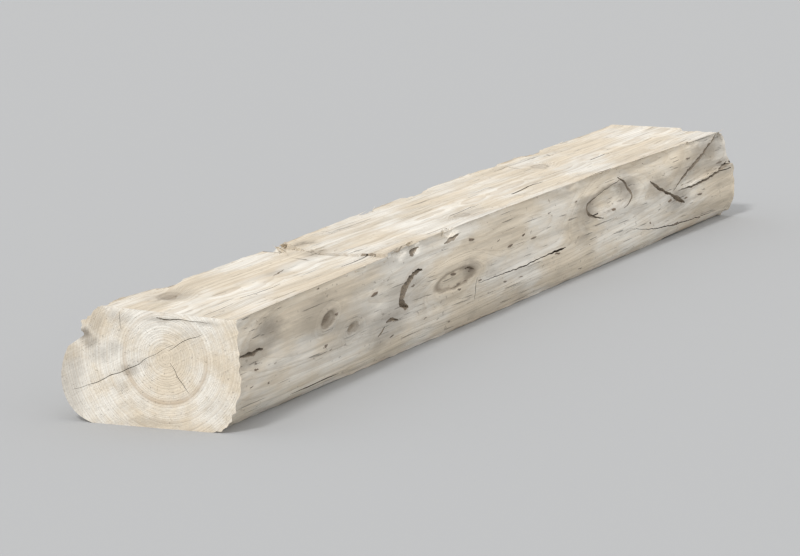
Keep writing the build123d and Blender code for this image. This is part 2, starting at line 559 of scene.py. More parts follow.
def sculptFaceKnots(points, inward, normal):
    rough = 0.15 * grainNoise(points, 0.020, 0.010, 32)
    for knot in faceKnots:
        offset = points - (nearEnd + knot["place"], knot["y"], 0)
        longWay, wideWay = turned(offset[..., 0], offset[..., 1], knot["turn"])
        reach = np.hypot(longWay / knot["long"], wideWay / knot["wide"]) + rough
        onFace = normal[..., 2] * knot["face"] > 0.7
        inward += onFace * knot["pit"] * (1 - smooth(reach, 0.2, 1.1))


def chipEdges(points):
    towards = np.array([0.0, *form["pith"]]) - points
    towards[..., 0] = 0
    towards /= np.linalg.norm(towards, axis=-1, keepdims=True)
    for place, y, z, length, width, depth in edgeChips:
        offset = (points - (nearEnd + place, y, z)) / (length, width, width)
        reach = np.linalg.norm(offset, axis=-1) + 0.30 * grainNoise(points, 0.016, 0.007, 33)
        points += towards * (depth * (1 - smooth(reach, 0.35, 1.0)))[..., None]


def softenCorner(points, column, passes, strength):
    count = points.shape[1]
    reach = unevenness["edgeReach"]
    columns = np.arange(column - reach, column + reach + 1)
    weight = (1 - np.abs(columns - column) / (reach + 1))[None, :, None] * strength[:, None, None]
    for _ in range(passes):
        here = points[:, columns % count]
        middle = (points[:, (columns - 1) % count] + points[:, (columns + 1) % count]) / 2
        points[:, columns % count] = here + (middle - here) * weight


def softenCorners(points):
    rightTop = form["sideColumns"]
    leftTop = rightTop + form["topColumns"]
    leftFoot = leftTop + form["sideColumns"]
    corners = {"rightTop": rightTop, "leftTop": leftTop, "leftFoot": leftFoot, "rightFoot": 0}
    for name, column in corners.items():
        places = points[:, column]
        uneven = grainNoise(places, 0.09, 0.5, 41) + 0.6 * grainNoise(places, 0.022, 0.5, 42)
        worn = 0.4 * (1 - smooth(places[:, 0] - nearEnd, 0.03, 0.15)) * (name == "leftTop")
        strength = np.clip(0.42 + 0.55 * uneven + worn, 0.05, 1.0)
        softenCorner(points, column, unevenness["edgePasses"][name], strength)


def shapeLog():
    points, region = logGrid()
    softenCorners(points)
    normal = outwards(points)
    onSide = np.isin(region, ("right", "left"))[None, :] * smooth(points[..., 2], 0.0, 0.03)
    away = smooth(points[..., 0] - nearEnd, 0.0, 0.16)
    swell = 0.45 + 0.85 * grainNoise(points, unevenness["swellLength"], unevenness["swellWidth"], 43)
    wave = 0.4 + 0.8 * grainNoise(points, unevenness["edgeWaveLength"], 0.5, 44)
    wave = wave * smooth(points[..., 2], 0.13, 0.18) * (region == "left")
    inward = onSide * away * np.maximum(unevenness["swellDepth"] * swell + unevenness["edgeWave"] * wave, 0)
    sculptSideKnots(points, inward)
    splitSlab(points, inward)
    sculptFaceKnots(points, inward, normal)
    points -= normal * inward[..., None]
    chipEdges(points)
    return points, region


def tearEnds(points, region):
    normal = outwards(points)
    onSide = region == "right"
    for row, share, way in ((0, 1.0, 1), (1, 0.3, 1), (-1, 1.0, -1), (-2, 0.3, -1)):
        places = points[row].copy()
        back = 0.5 + 0.5 * softNoise(places / unevenness["fineTear"], 51)
        back += 0.35 * softNoise(places / unevenness["wideTear"], 52)
        teeth = np.clip(1 - 2.0 * np.abs(softNoise(places / unevenness["wideTear"], 55)), 0, 1)
        teeth *= 0.65 + 0.5 * softNoise(places / 0.05, 56)
        points[row] += normal[row] * (share * unevenness["tearOut"] * teeth * onSide)[:, None]
        points[row, :, 0] = places[:, 0] + way * share * unevenness["tearBack"] * np.clip(back, 0, 1.2)


def capRings(loop, out):  # rings from the edge of a sawn end to its heart
    rings = []
    heart = np.array([0.0, *form["pith"]])
    level = nearEnd + form["endInset"] if out < 0 else farEnd - form["endInset"]
    for ring in range(1, form["endRings"] + 1):
        share = 1 - ring / form["endRings"]
        points = heart + (loop - heart) * share
        uneven = 0.0009 * softNoise(points / 0.045, 53) + 0.0004 * softNoise(points / 0.014, 54)
        points[:, 0] = level + uneven + (loop[:, 0] - level) * 0.4 * (ring == 1)
        rings.append(points)
    rings[-1] = rings[-1][:1]
    return rings


def columnMask(region, names):  # 1 on a face, fading out at its corners
    onFace = np.isin(region, names)
    mask = (onFace & np.roll(onFace, 1)).astype(float)
    for _ in range(3):
        mask = np.minimum(mask, (np.roll(mask, 1) + mask + np.roll(mask, -1)) / 3)
    return mask


def sideFaces(rows, columns, region):
    faces, kinds = [], []
    for row, column in itertools.product(range(rows - 1), range(columns)):
        after = (column + 1) % columns
        base = row * columns
        faces.append((base + column, base + columns + column, base + columns + after, base + after))
        kinds.append(0 if region[column] in ("top", "bottom") else 1)
    return faces, kinds


def capFaces(edgeStart, ringStart, columns, out):
    faces = []
    starts = [edgeStart] + [ringStart + ring * columns for ring in range(form["endRings"])]
    for ring, column in itertools.product(range(form["endRings"]), range(columns)):
        after = (column + 1) % columns
        outer = (starts[ring] + column, starts[ring] + after)
        if ring == form["endRings"] - 1:
            face = (*outer, starts[ring + 1])
        else:
            face = (*outer, starts[ring + 1] + after, starts[ring + 1] + column)
        faces.append(face if out < 0 else face[::-1])
    return faces, [2] * len(faces)


def storeMasks(mesh, vertices, region, rows):
    caps = np.zeros(len(vertices) - rows * len(region))
    x = vertices[:, 0]
    fromEnd = np.minimum(x - nearEnd, farEnd - x)
    fromScore = np.abs(x - scoreLine(vertices[:, 1]))
    hewn = np.concatenate([np.tile(columnMask(region, ("top", "bottom")), rows), caps])
    peeled = np.concatenate([np.tile(columnMask(region, ("right", "left")), rows), caps])
    onBody = np.arange(len(vertices)) < rows * len(region)
    torn = np.maximum(1 - hewn - peeled, 1 - smooth(fromScore, 0.01, 0.05))
    torn = torn * onBody * smooth(fromEnd, 0.020, 0.035) * (vertices[:, 2] > 0.165)
    clear = smooth(x - nearEnd, 0.10, 0.20)
    # the scored mask: painted shade on the step at the score
    riser = score["dirt"] * (1 - smooth(fromScore, 0.002, 0.011))
    riser *= 0.75 + 0.5 * grainNoise(vertices, 0.05, 0.03, 57)
    endFade = smooth(fromEnd, 0.004, 0.020)
    masks = {
        "hewn": hewn * endFade,
        "peeled": peeled * endFade,
        "torn": torn,
        "scored": np.clip(riser, 0, 1) * onBody * (vertices[:, 2] > 0.160),
        "openHewn": hewn * clear,
        "openPeeled": peeled * clear,
    }
    for name, values in masks.items():
        mesh.attributes.new(name, "FLOAT", "POINT").data.foreach_set("value", values)


def logMesh():
    points, region = shapeLog()
    tearEnds(points, region)
    points = np.clip(points, np.array(logLow), np.array(logHigh))
    rows, columns = points.shape[:2]
    nearRings = capRings(points[0], -1)
    farRings = capRings(points[-1], 1)
    vertices = np.concatenate([points.reshape(-1, 3), *nearRings, *farRings])
    nearStart = rows * columns
    farStart = nearStart + sum(len(ring) for ring in nearRings)
    parts = [
        sideFaces(rows, columns, region),
        capFaces(0, nearStart, columns, -1),
        capFaces((rows - 1) * columns, farStart, columns, 1),
    ]
    mesh = bpy.data.meshes.new("hewnLog")
    mesh.from_pydata(vertices.tolist(), [], sum((faces for faces, _ in parts), []))
    mesh.polygons.foreach_set("material_index", sum((kinds for _, kinds in parts), []))
    storeMasks(mesh, vertices, region, rows)
    return mesh


print("log form ready")


# Finishes: colours first, then the shader groups that every wood finish shares

wood = {
    "pale": (0.765, 0.670, 0.530, 1.0),
    "bleached": (0.875, 0.835, 0.755, 1.0),
    "late": (0.480, 0.360, 0.235, 1.0),  # the darker wood that ends each year's growth
    "knot": (0.120, 0.072, 0.038, 1.0),
    "bast": (0.200, 0.145, 0.098, 1.0),  # scraps of inner bark that the peeling left
    # dirt also colours the painted shade in the seam, along the foot of the right side and on the step at the
    # score
    "dirt": (0.245, 0.210, 0.168, 1.0),
    "torn": (0.470, 0.380, 0.280, 1.0),
    # split is near-black, the painted shade deep in a check; the hairlines are drawn in it too
    "split": (0.050, 0.036, 0.024, 1.0),
}

grainLook = {
    "ringWidth": 0.0036,
    "wander": 0.016,  # how far the rings stray from round
    "slow": (1.3, 6.0, 6.0),  # how fine the straying is along and across the log, and so below
    "fibre": (9.0, 420.0, 420.0),
    "streak": (2.4, 64.0, 64.0),
    "ringDepth": 0.0003,
    "hairlineDepth": -0.0012,
    "smoothest": 0.74,  # the least and the most roughness
    "roughest": 0.92,
}


def objectPlace(tree):
    return addNode(tree, "ShaderNodeTexCoord").outputs["Object"]


def grainGroup():
    inputs = {"Ring Width": grainLook["ringWidth"], "Wander": grainLook["wander"], "Swell": 0.0}
    outputs = {"Ring": 0.0, "Fibre": 0.0, "Streak": 0.0, "Radius": 0.0}
    tree, given, made = newTree("woodGrain", "ShaderNodeTree", inputs, outputs)
    place = objectPlace(tree)
    slow = noise(tree, place, grainLook["slow"], 2.0)
    wander = product(tree, calc(tree, "SUBTRACT", slow, 0.5), given["Wander"])
    across = vectorCalc(tree, "MULTIPLY", place, (0.0, 1.0, 1.0))
    radius = vectorCalc(tree, "DISTANCE", across, (0.0, *form["pith"]), output="Value")
    wide = calc(tree, "ADD", calc(tree, "ADD", radius, wander), given["Swell"])
    seasons = {"W": wide, "Scale": 70.0, "Detail": 2.0}
    wet = addNode(tree, "ShaderNodeTexNoise", seasons, noise_dimensions="1D").outputs[0]
    years = calc(tree, "MULTIPLY_ADD", wet, 4.0, calc(tree, "DIVIDE", wide, given["Ring Width"]))
    phase = calc(tree, "FRACT", years)
    ring = product(tree, ramp(tree, phase, 0.30, 0.92), ramp(tree, phase, 0.93, 1.0, 1.0, 0.0))
    fibre = noise(tree, place, grainLook["fibre"], 4.0, 0.65)
    streak = noise(tree, place, grainLook["streak"], 4.0, 0.6)
    return putOut(tree, made, {"Ring": ring, "Fibre": fibre, "Streak": streak, "Radius": wide})


def knotGroup():
    origin = (0.0, 0.0, 0.0)
    inputs = {"Point": origin, "Centre": origin, "Size": (0.03, 0.03, 0.02), "Turn": origin}
    inputs.update({"Core Strength": 1.0, "Ring Strength": 1.0})
    outputs = {"Core": 0.0, "Rim": 0.0, "Halo": 0.0}
    tree, given, made = newTree("knotMark", "ShaderNodeTree", inputs, outputs)
    offset = vectorCalc(tree, "SUBTRACT", given["Point"], given["Centre"])
    spin = {"Vector": offset, "Rotation": given["Turn"]}
    straight = addNode(tree, "ShaderNodeVectorRotate", spin, rotation_type="EULER_XYZ").outputs[0]
    reach = vectorCalc(tree, "LENGTH", vectorCalc(tree, "DIVIDE", straight, given["Size"]), output="Value")
    core = product(tree, ramp(tree, reach, 0.55, 1.05, 1.0, 0.0), given["Core Strength"])
    band = product(tree, ramp(tree, reach, 0.62, 0.95), ramp(tree, reach, 0.98, 1.25, 1.0, 0.0))
    rim = product(tree, band, given["Ring Strength"])
    return putOut(tree, made, {"Core": core, "Rim": rim, "Halo": ramp(tree, reach, 0.6, 2.8, 1.0, 0.0)})


weather = {  # how fine each pattern is along and across, its detail, and where it starts and is full
    "Bleach": ((3.0, 11.0, 11.0), 5.0, 0.40, 0.62),
    "Dirt": ((7.0, 24.0, 24.0), 6.0, 0.50, 0.73),
    "Specks": ((60.0, 120.0, 120.0), 3.0, 0.64, 0.71),
    "Hairlines": ((4.5, 250.0, 250.0), 2.0, 0.66, 0.73),
}


def weatherGroup():
    tree, given, made = newTree("weathering", "ShaderNodeTree", {"Seed": 0.0}, dict.fromkeys(weather, 0.0))
    shifted = vectorCalc(tree, "ADD", objectPlace(tree), combined(tree, given["Seed"]))
    for name, (fineness, detail, low, high) in weather.items():
        tree.links.new(ramp(tree, noise(tree, shifted, fineness, detail, 0.6), low, high), made[name])
    return tree


grain = grainGroup()
knotMark = knotGroup()
weathering = weatherGroup()


def useGroup(tree, group, inputs):
    return addNode(tree, "ShaderNodeGroup", inputs, node_tree=group).outputs


def wobbled(tree, fineness, detail, roughness, amount):  # the place on the log, moved about by noise
    place = objectPlace(tree)
    shift = vectorCalc(tree, "MULTIPLY", drift(tree, place, fineness, detail, roughness), amount)
    return vectorCalc(tree, "ADD", place, shift)


knotWobble = (0.014, 0.010, 0.006)  # how far a knot's outline wanders along, across and up


def addKnots(tree, knots):  # the strongest core, rim and halo of all the knots at a point
    total = {"Core": 0.0, "Rim": 0.0, "Halo": 0.0}
    point = wobbled(tree, (45.0, 60.0, 60.0), 3.0, 0.6, knotWobble)
    for centre, size, turn, knot in knots:
        inputs = {"Point": point, "Centre": centre, "Size": size, "Turn": turn}
        inputs.update({"Core Strength": knot["core"], "Ring Strength": knot["ring"]})
        made = useGroup(tree, knotMark, inputs)
        for name in total:
            total[name] = calc(tree, "MAXIMUM", total[name], made[name])
    return total


def addStainAndShadePatches(tree, faces, amount):  # the strongest of the soft patches at a point
    strongest = 0.0
    point = wobbled(tree, (30.0, 60.0, 60.0), 4.0, 0.7, amount)
    for face in faces:
        way = rayways[face][1]
        into = way.index(max(way, key=abs))  # which of x, y and z runs into the face
        for first, second, reach, across, strength in stainAndShadePatches[face]:
            size = [reach, across]
            size.insert(into, patchDepth)
            inputs = {"Point": point, "Centre": tuple(spotOn(face, first, second)), "Size": size}
            halo = useGroup(tree, knotMark, inputs)["Halo"]
            strongest = calc(tree, "MAXIMUM", strongest, product(tree, halo, strength))
    return strongest


def sideKnotMarks():  # the middle, size and turn of each knot's mark, and the knot
    for knot in sideKnots:
        size = (knot["long"], 0.06, knot["tall"])
        yield tuple(knotCentre(knot).tolist()), size, (0.0, knot["turn"], 0.0), knot


def faceKnotMarks():
    for knot in faceKnots:
        centre = (nearEnd + knot["place"], knot["y"], 0.18 if knot["face"] > 0 else 0.0)
        yield centre, (knot["long"], knot["wide"], 0.04), (0.0, 0.0, -knot["turn"]), knot


hewnFinish, peeledFinish, sawnFinish = table(
    "ring, streak, bleach, dirt, specks, hairlines, shade, fibreDepth, swell, seed, stainDrift",
    (0.36, 0.20, 1.00, 0.10, 0.30, 0.50, 1.00, 0.0007, 0.014, 0.0, (0.030, 0.018, 0.010)),
    (0.18, 0.28, 0.95, 0.32, 0.45, 0.50, 1.10, 0.0006, 0.016, 5.0, (0.050, 0.024, 0.020)),
    (0.24, 0.08, 1.00, 0.12, 0.22, 0.00, 1.04, 0.0004, 0.000, 9.0, (0.010, 0.014, 0.014)),
)
heartLine = {"radius": 0.070, "width": 0.0085, "strength": 0.55, "fadeFrom": 0.085, "fadeTo": 0.135}
sawMarks = {"angle": 0.5, "fineness": 420.0, "length": 9.0, "depth": 0.0006}


def shaded(tree, colour, tone):
    grey = addNode(tree, "ShaderNodeCombineColor", {0: tone, 1: tone, 2: tone}).outputs[0]
    return mixColour(tree, 1.0, colour, grey, "MULTIPLY")


def woodColour(tree, finish, lines, wear, marks):
    colour = mixColour(tree, product(tree, wear["Bleach"], finish["bleach"]), wood["pale"], wood["bleached"])
    colour = mixColour(tree, product(tree, lines["Ring"], finish["ring"]), colour, wood["late"])
    streak = ramp(tree, lines["Streak"], 0.30, 0.75, 1.0, 1.0 - finish["streak"])
    fibre = ramp(tree, lines["Fibre"], 0.25, 0.80, 1.06, 0.90)
    colour = shaded(tree, colour, product(tree, streak, fibre, finish["shade"]))
    for name, paint in (("Dirt", "dirt"), ("Specks", "bast"), ("Hairlines", "split")):
        colour = mixColour(tree, product(tree, wear[name], finish[name.lower()]), colour, wood[paint])
    dark = calc(tree, "MAXIMUM", product(tree, marks["Core"], 0.90), marks["Rim"])
    return mixColour(tree, dark, colour, wood["knot"])


def woodHeight(tree, finish, lines, wear):
    height = product(tree, lines["Fibre"], finish["fibreDepth"])
    height = calc(tree, "MULTIPLY_ADD", lines["Ring"], grainLook["ringDepth"], height)
    return calc(tree, "MULTIPLY_ADD", wear["Hairlines"], grainLook["hairlineDepth"], height)


def finishShader(tree, shader, colour, height, lines):
    tree.links.new(colour, shader["Base Color"])
    bump = addNode(tree, "ShaderNodeBump", {"Strength": 1.0, "Distance": 1.0, "Height": height})
    tree.links.new(bump.outputs[0], shader["Normal"])
    dull = ramp(tree, lines["Fibre"], 0.2, 0.8, grainLook["smoothest"], grainLook["roughest"])
    tree.links.new(dull, shader["Roughness"])


def skinMaterial(name, finish, knots, faces):  # a hewn or peeled face
    material, tree, shader = newMaterial(name)
    marks = addKnots(tree, knots)
    lines = useGroup(tree, grain, {"Swell": product(tree, marks["Halo"], finish["swell"])})
    wear = useGroup(tree, weathering, {"Seed": finish["seed"]})
    colour = woodColour(tree, finish, lines, wear, marks)
    stainAndShadeMask = addStainAndShadePatches(tree, faces, finish["stainDrift"])
    if "top" in faces:  # and the painted shade on the step at the score
        scored = addNode(tree, "ShaderNodeAttribute", attribute_name="scored").outputs["Fac"]
        stainAndShadeMask = calc(tree, "MAXIMUM", stainAndShadeMask, scored)
    colour = mixColour(tree, stainAndShadeMask, colour, wood["dirt"])
    finishShader(tree, shader, colour, woodHeight(tree, finish, lines, wear), lines)
    return material


def sawnMaterial():
    material, tree, shader = newMaterial("sawnEnd")
    lines = useGroup(tree, grain, {})
    wear = useGroup(tree, weathering, {"Seed": sawnFinish["seed"]})
    colour = woodColour(tree, sawnFinish, lines, wear, {"Core": 0.0, "Rim": 0.0})
    place = objectPlace(tree)
    away = calc(tree, "ABSOLUTE", calc(tree, "SUBTRACT", lines["Radius"], heartLine["radius"]))
    heart = ramp(tree, away, 0.0, heartLine["width"], heartLine["strength"], 0.0)
    patchy = ramp(tree, noise(tree, place, (26.0, 26.0, 26.0), 2.0), 0.30, 0.60, 0.45, 1.0)
    up = addNode(tree, "ShaderNodeSeparateXYZ", {0: place}).outputs["Z"]
    lower = ramp(tree, up, heartLine["fadeFrom"], heartLine["fadeTo"], 1.0, 0.35)
    colour = mixColour(tree, product(tree, heart, patchy, lower), colour, wood["late"])
    stainAndShadeMask = addStainAndShadePatches(tree, ["near", "far"], sawnFinish["stainDrift"])
    colour = mixColour(tree, stainAndShadeMask, colour, wood["dirt"])
    spin = {"Vector": place, "Angle": sawMarks["angle"]}
    across = addNode(tree, "ShaderNodeVectorRotate", spin, rotation_type="X_AXIS").outputs[0]
    kerf = noise(tree, across, (0.0, sawMarks["length"], sawMarks["fineness"]), 2.0)
    colour = shaded(tree, colour, ramp(tree, kerf, 0.2, 0.8, 0.94, 1.04))
    height = woodHeight(tree, sawnFinish, lines, wear)
    height = calc(tree, "MULTIPLY_ADD", kerf, sawMarks["depth"], height)
    finishShader(tree, shader, colour, height, lines)
    return material


def roughMaterial(name, pattern, low, high, first, second, depth):  # two colours, mixed by the grain
    material, tree, shader = newMaterial(name)
    lines = useGroup(tree, grain, {})
    colour = mixColour(tree, ramp(tree, lines[pattern], low, high), wood[first], wood[second])
    finishShader(tree, shader, colour, product(tree, lines["Fibre"], depth), lines)
    return material


def splitMaterial():  # the inside of a check, near-black: painted shade deep in the check
    material, tree, shader = newMaterial("splitInside")
    lines = useGroup(tree, grain, {})
    colour = mixColour(tree, ramp(tree, lines["Fibre"], 0.45, 0.75), wood["split"], wood["knot"])
    tree.links.new(colour, shader["Base Color"])
    shader["Roughness"].default_value = 0.95
    shader["Specular IOR Level"].default_value = 0.1
    return material


hewnFace = skinMaterial("hewnFace", hewnFinish, faceKnotMarks(), ["top"])
peeledSide = skinMaterial("peeledSide", peeledFinish, sideKnotMarks(), ["right", "left"])
sawnEnd = sawnMaterial()
splitInside = splitMaterial()
gashInside = roughMaterial("gashInside", "Fibre", 0.35, 0.70, "dirt", "torn", 0.0010)
bastScrap = roughMaterial("bastScrap", "Streak", 0.3, 0.7, "bast", "dirt", 0.0008)
print("finishes ready")


# Relief left by the axe and the peeling iron: flats that tilt this way and that, and raised fibres

axeRelief, peelRelief = table(
    "Mask, Flat Length, Flat Width, Hollow, Tilt, Fibre, Seed",
    ("hewn", 0.115, 0.058, 0.0018, 0.0022, 0.0008, 3),
    ("peeled", 0.340, 0.034, 0.0014, 0.0010, 0.0006, 8),
)


def surfaceTree(name, sizes):  # a tree that takes a mesh, and the mask on it to work under
    made = newTree(name, "GeometryNodeTree", {"Geometry": None, **sizes}, {"Geometry": None})
    tree, given = made[:2]
    mask = addNode(tree, "GeometryNodeInputNamedAttribute", {"Name": given["Mask"]}, data_type="FLOAT")
    position = tree.nodes.new("GeometryNodeInputPosition").outputs[0]
    return *made, mask.outputs["Attribute"], position


def moveMesh(tree, mesh, **how):
    return addNode(tree, "GeometryNodeSetPosition", {"Geometry": mesh, **how}).outputs[0]


def reliefTree():
    tree, given, made, mask, position = surfaceTree("toolRelief", axeRelief)
    cell = combined(tree, given["Flat Length"], given["Flat Width"], given["Flat Width"])
    sway = scaled(tree, drift(tree, position, (4.0, 9.0, 9.0), 1.0, 0.5), 0.05)
    bent = vectorCalc(tree, "DIVIDE", vectorCalc(tree, "ADD", position, sway), cell)
    place = vectorCalc(tree, "ADD", bent, combined(tree, given["Seed"], given["Seed"]))
    flat = addNode(tree, "ShaderNodeTexVoronoi", {"Vector": place, "Scale": 1.0, "Randomness": 0.9}).outputs
    squared = calc(tree, "POWER", flat["Distance"], 2.0)
    hollow = calc(tree, "MAXIMUM", calc(tree, "MULTIPLY_ADD", squared, -1.8, 1.0), 0.0)
    offset = vectorCalc(tree, "SUBTRACT", place, flat["Position"])
    lean = vectorCalc(tree, "DOT_PRODUCT", offset, centred(tree, flat["Color"]), output="Value")
    thread = noise(tree, position, (7.0, 75.0, 75.0), 2.0)
    depth = product(tree, hollow, given["Hollow"])
    depth = calc(tree, "MULTIPLY_ADD", calc(tree, "ADD", lean, 0.5), given["Tilt"], depth)
    depth = calc(tree, "MULTIPLY_ADD", thread, given["Fibre"], depth)
    normal = tree.nodes.new("GeometryNodeInputNormal").outputs[0]
    inwards = scaled(tree, normal, product(tree, depth, mask, -1.0))
    return putOut(tree, made, {"Geometry": moveMesh(tree, given["Geometry"], Offset=inwards)})


# Small things strewn over a face: drying checks, lifted fibres and scraps of bast

faceChecks, sideChecks, axeNicks, fibres, scraps = table(
    "Mask, Density, Length, Width, Depth, Seed",
    ("openHewn", 22.0, 0.190, 0.0016, 0.0130, 4),
    ("openPeeled", 11.0, 0.110, 0.0011, 0.0090, 7),
    ("openHewn", 14.0, 0.030, 0.0009, 0.0040, 15),
    ("torn", 5200.0, 0.024, 0.0009, 0.0006, 11),
    ("peeled", 75.0, 0.011, 0.0017, 0.0006, 12),
)

strewing = {
    "smallest": 0.45,  # of the given size
    "largest": 1.6,
    "sway": (0.0, 0.006, 0.006),
}


def strewnTree(name, shape, material, lift, sink=0.0, crossWay=0.0, ragged=0.0, cutter=False):
    tree, given, made, mask, position = surfaceTree(name, faceChecks)
    density = product(tree, mask, given["Density"])
    spread = {"Mesh": given["Geometry"], "Density": density, "Seed": given["Seed"]}
    points = addNode(tree, "GeometryNodeDistributePointsOnFaces", spread).outputs

    def chance(low, high, salt):
        limits = {"Min": low, "Max": high, "Seed": salt}
        dice = addNode(tree, "FunctionNodeRandomValue", limits, data_type="FLOAT")
        return next(output for output in dice.outputs if output.enabled)

    outward = addNode(tree, "FunctionNodeAlignRotationToVector", {"Vector": points["Normal"]}, axis="Z")
    across = calc(tree, "ADD", chance(-lift, lift, 1), crossWay)
    settings = {"Rotation": outward.outputs[0], "Vector": combined(tree, 1.0, across, chance(-lift, lift, 2))}
    turn = addNode(tree, "FunctionNodeAlignRotationToVector", settings, axis="X", pivot_axis="Z").outputs[0]
    tilt = addNode(tree, "FunctionNodeEulerToRotation", {0: combined(tree, 0.0, chance(-lift, lift, 3), 0.0)})
    tip = addNode(tree, "FunctionNodeRotateRotation", {0: turn, 1: tilt.outputs[0]}, rotation_space="LOCAL")
    body = addNode(tree, "GeometryNodeTransform", {"Geometry": shape(tree), "Translation": (0.0, 0.0, sink)})
    sizes = [
        product(tree, given[part], chance(strewing["smallest"], strewing["largest"], salt))
        for salt, part in enumerate(("Length", "Width", "Depth"), 4)
    ]
    place = {"Points": points["Points"], "Instance": body.outputs[0], "Rotation": tip.outputs[0]}
    place["Scale"] = combined(tree, *sizes)
    placed = addNode(tree, "GeometryNodeInstanceOnPoints", place).outputs[0]
    real = addNode(tree, "GeometryNodeRealizeInstances", {0: placed}).outputs[0]
    sway = drift(tree, position, (14.0, 30.0, 30.0), 2.0, 0.5)
    fray = scaled(tree, drift(tree, position, (130.0, 130.0, 130.0), 2.0, 0.6), ragged)
    bend = vectorCalc(tree, "ADD", vectorCalc(tree, "MULTIPLY", sway, strewing["sway"]), fray)
    bent = moveMesh(tree, real, Offset=bend)
    if not cutter:  # nothing that stays stands out of the log's own box
        above = vectorCalc(tree, "MAXIMUM", position, tuple(logLow))
        bent = moveMesh(tree, bent, Position=vectorCalc(tree, "MINIMUM", above, tuple(logHigh)))
    painted = addNode(tree, "GeometryNodeSetMaterial", {"Geometry": bent, "Material": material}).outputs[0]
    return putOut(tree, made, {"Geometry": painted})


def cone(tree, corners, top, bottom):
    sizes = {"Vertices": corners, "Radius Top": top, "Radius Bottom": bottom, "Depth": 1.0}
    return addNode(tree, "GeometryNodeMeshCone", sizes).outputs["Mesh"]


def leafCone(tree):  # a leaf-shaped wedge that narrows to a point below
    return cone(tree, 24, 1.0, 0.02)


def sliver(tree):  # a long four-sided spike lying along the grain
    lying = {"Geometry": cone(tree, 4, 0.04, 1.0), "Rotation": (0.0, math.pi / 2, 0.0)}
    return addNode(tree, "GeometryNodeTransform", lying).outputs[0]


def patch(tree):
    return addNode(tree, "GeometryNodeMeshIcoSphere", {"Radius": 1.0, "Subdivisions": 2}).outputs["Mesh"]


print("trees ready")


# Splits, gashes and pits listed one by one. Their finishes, in the order that the cutting wedges carry them

dark, torn, clean = range(3)

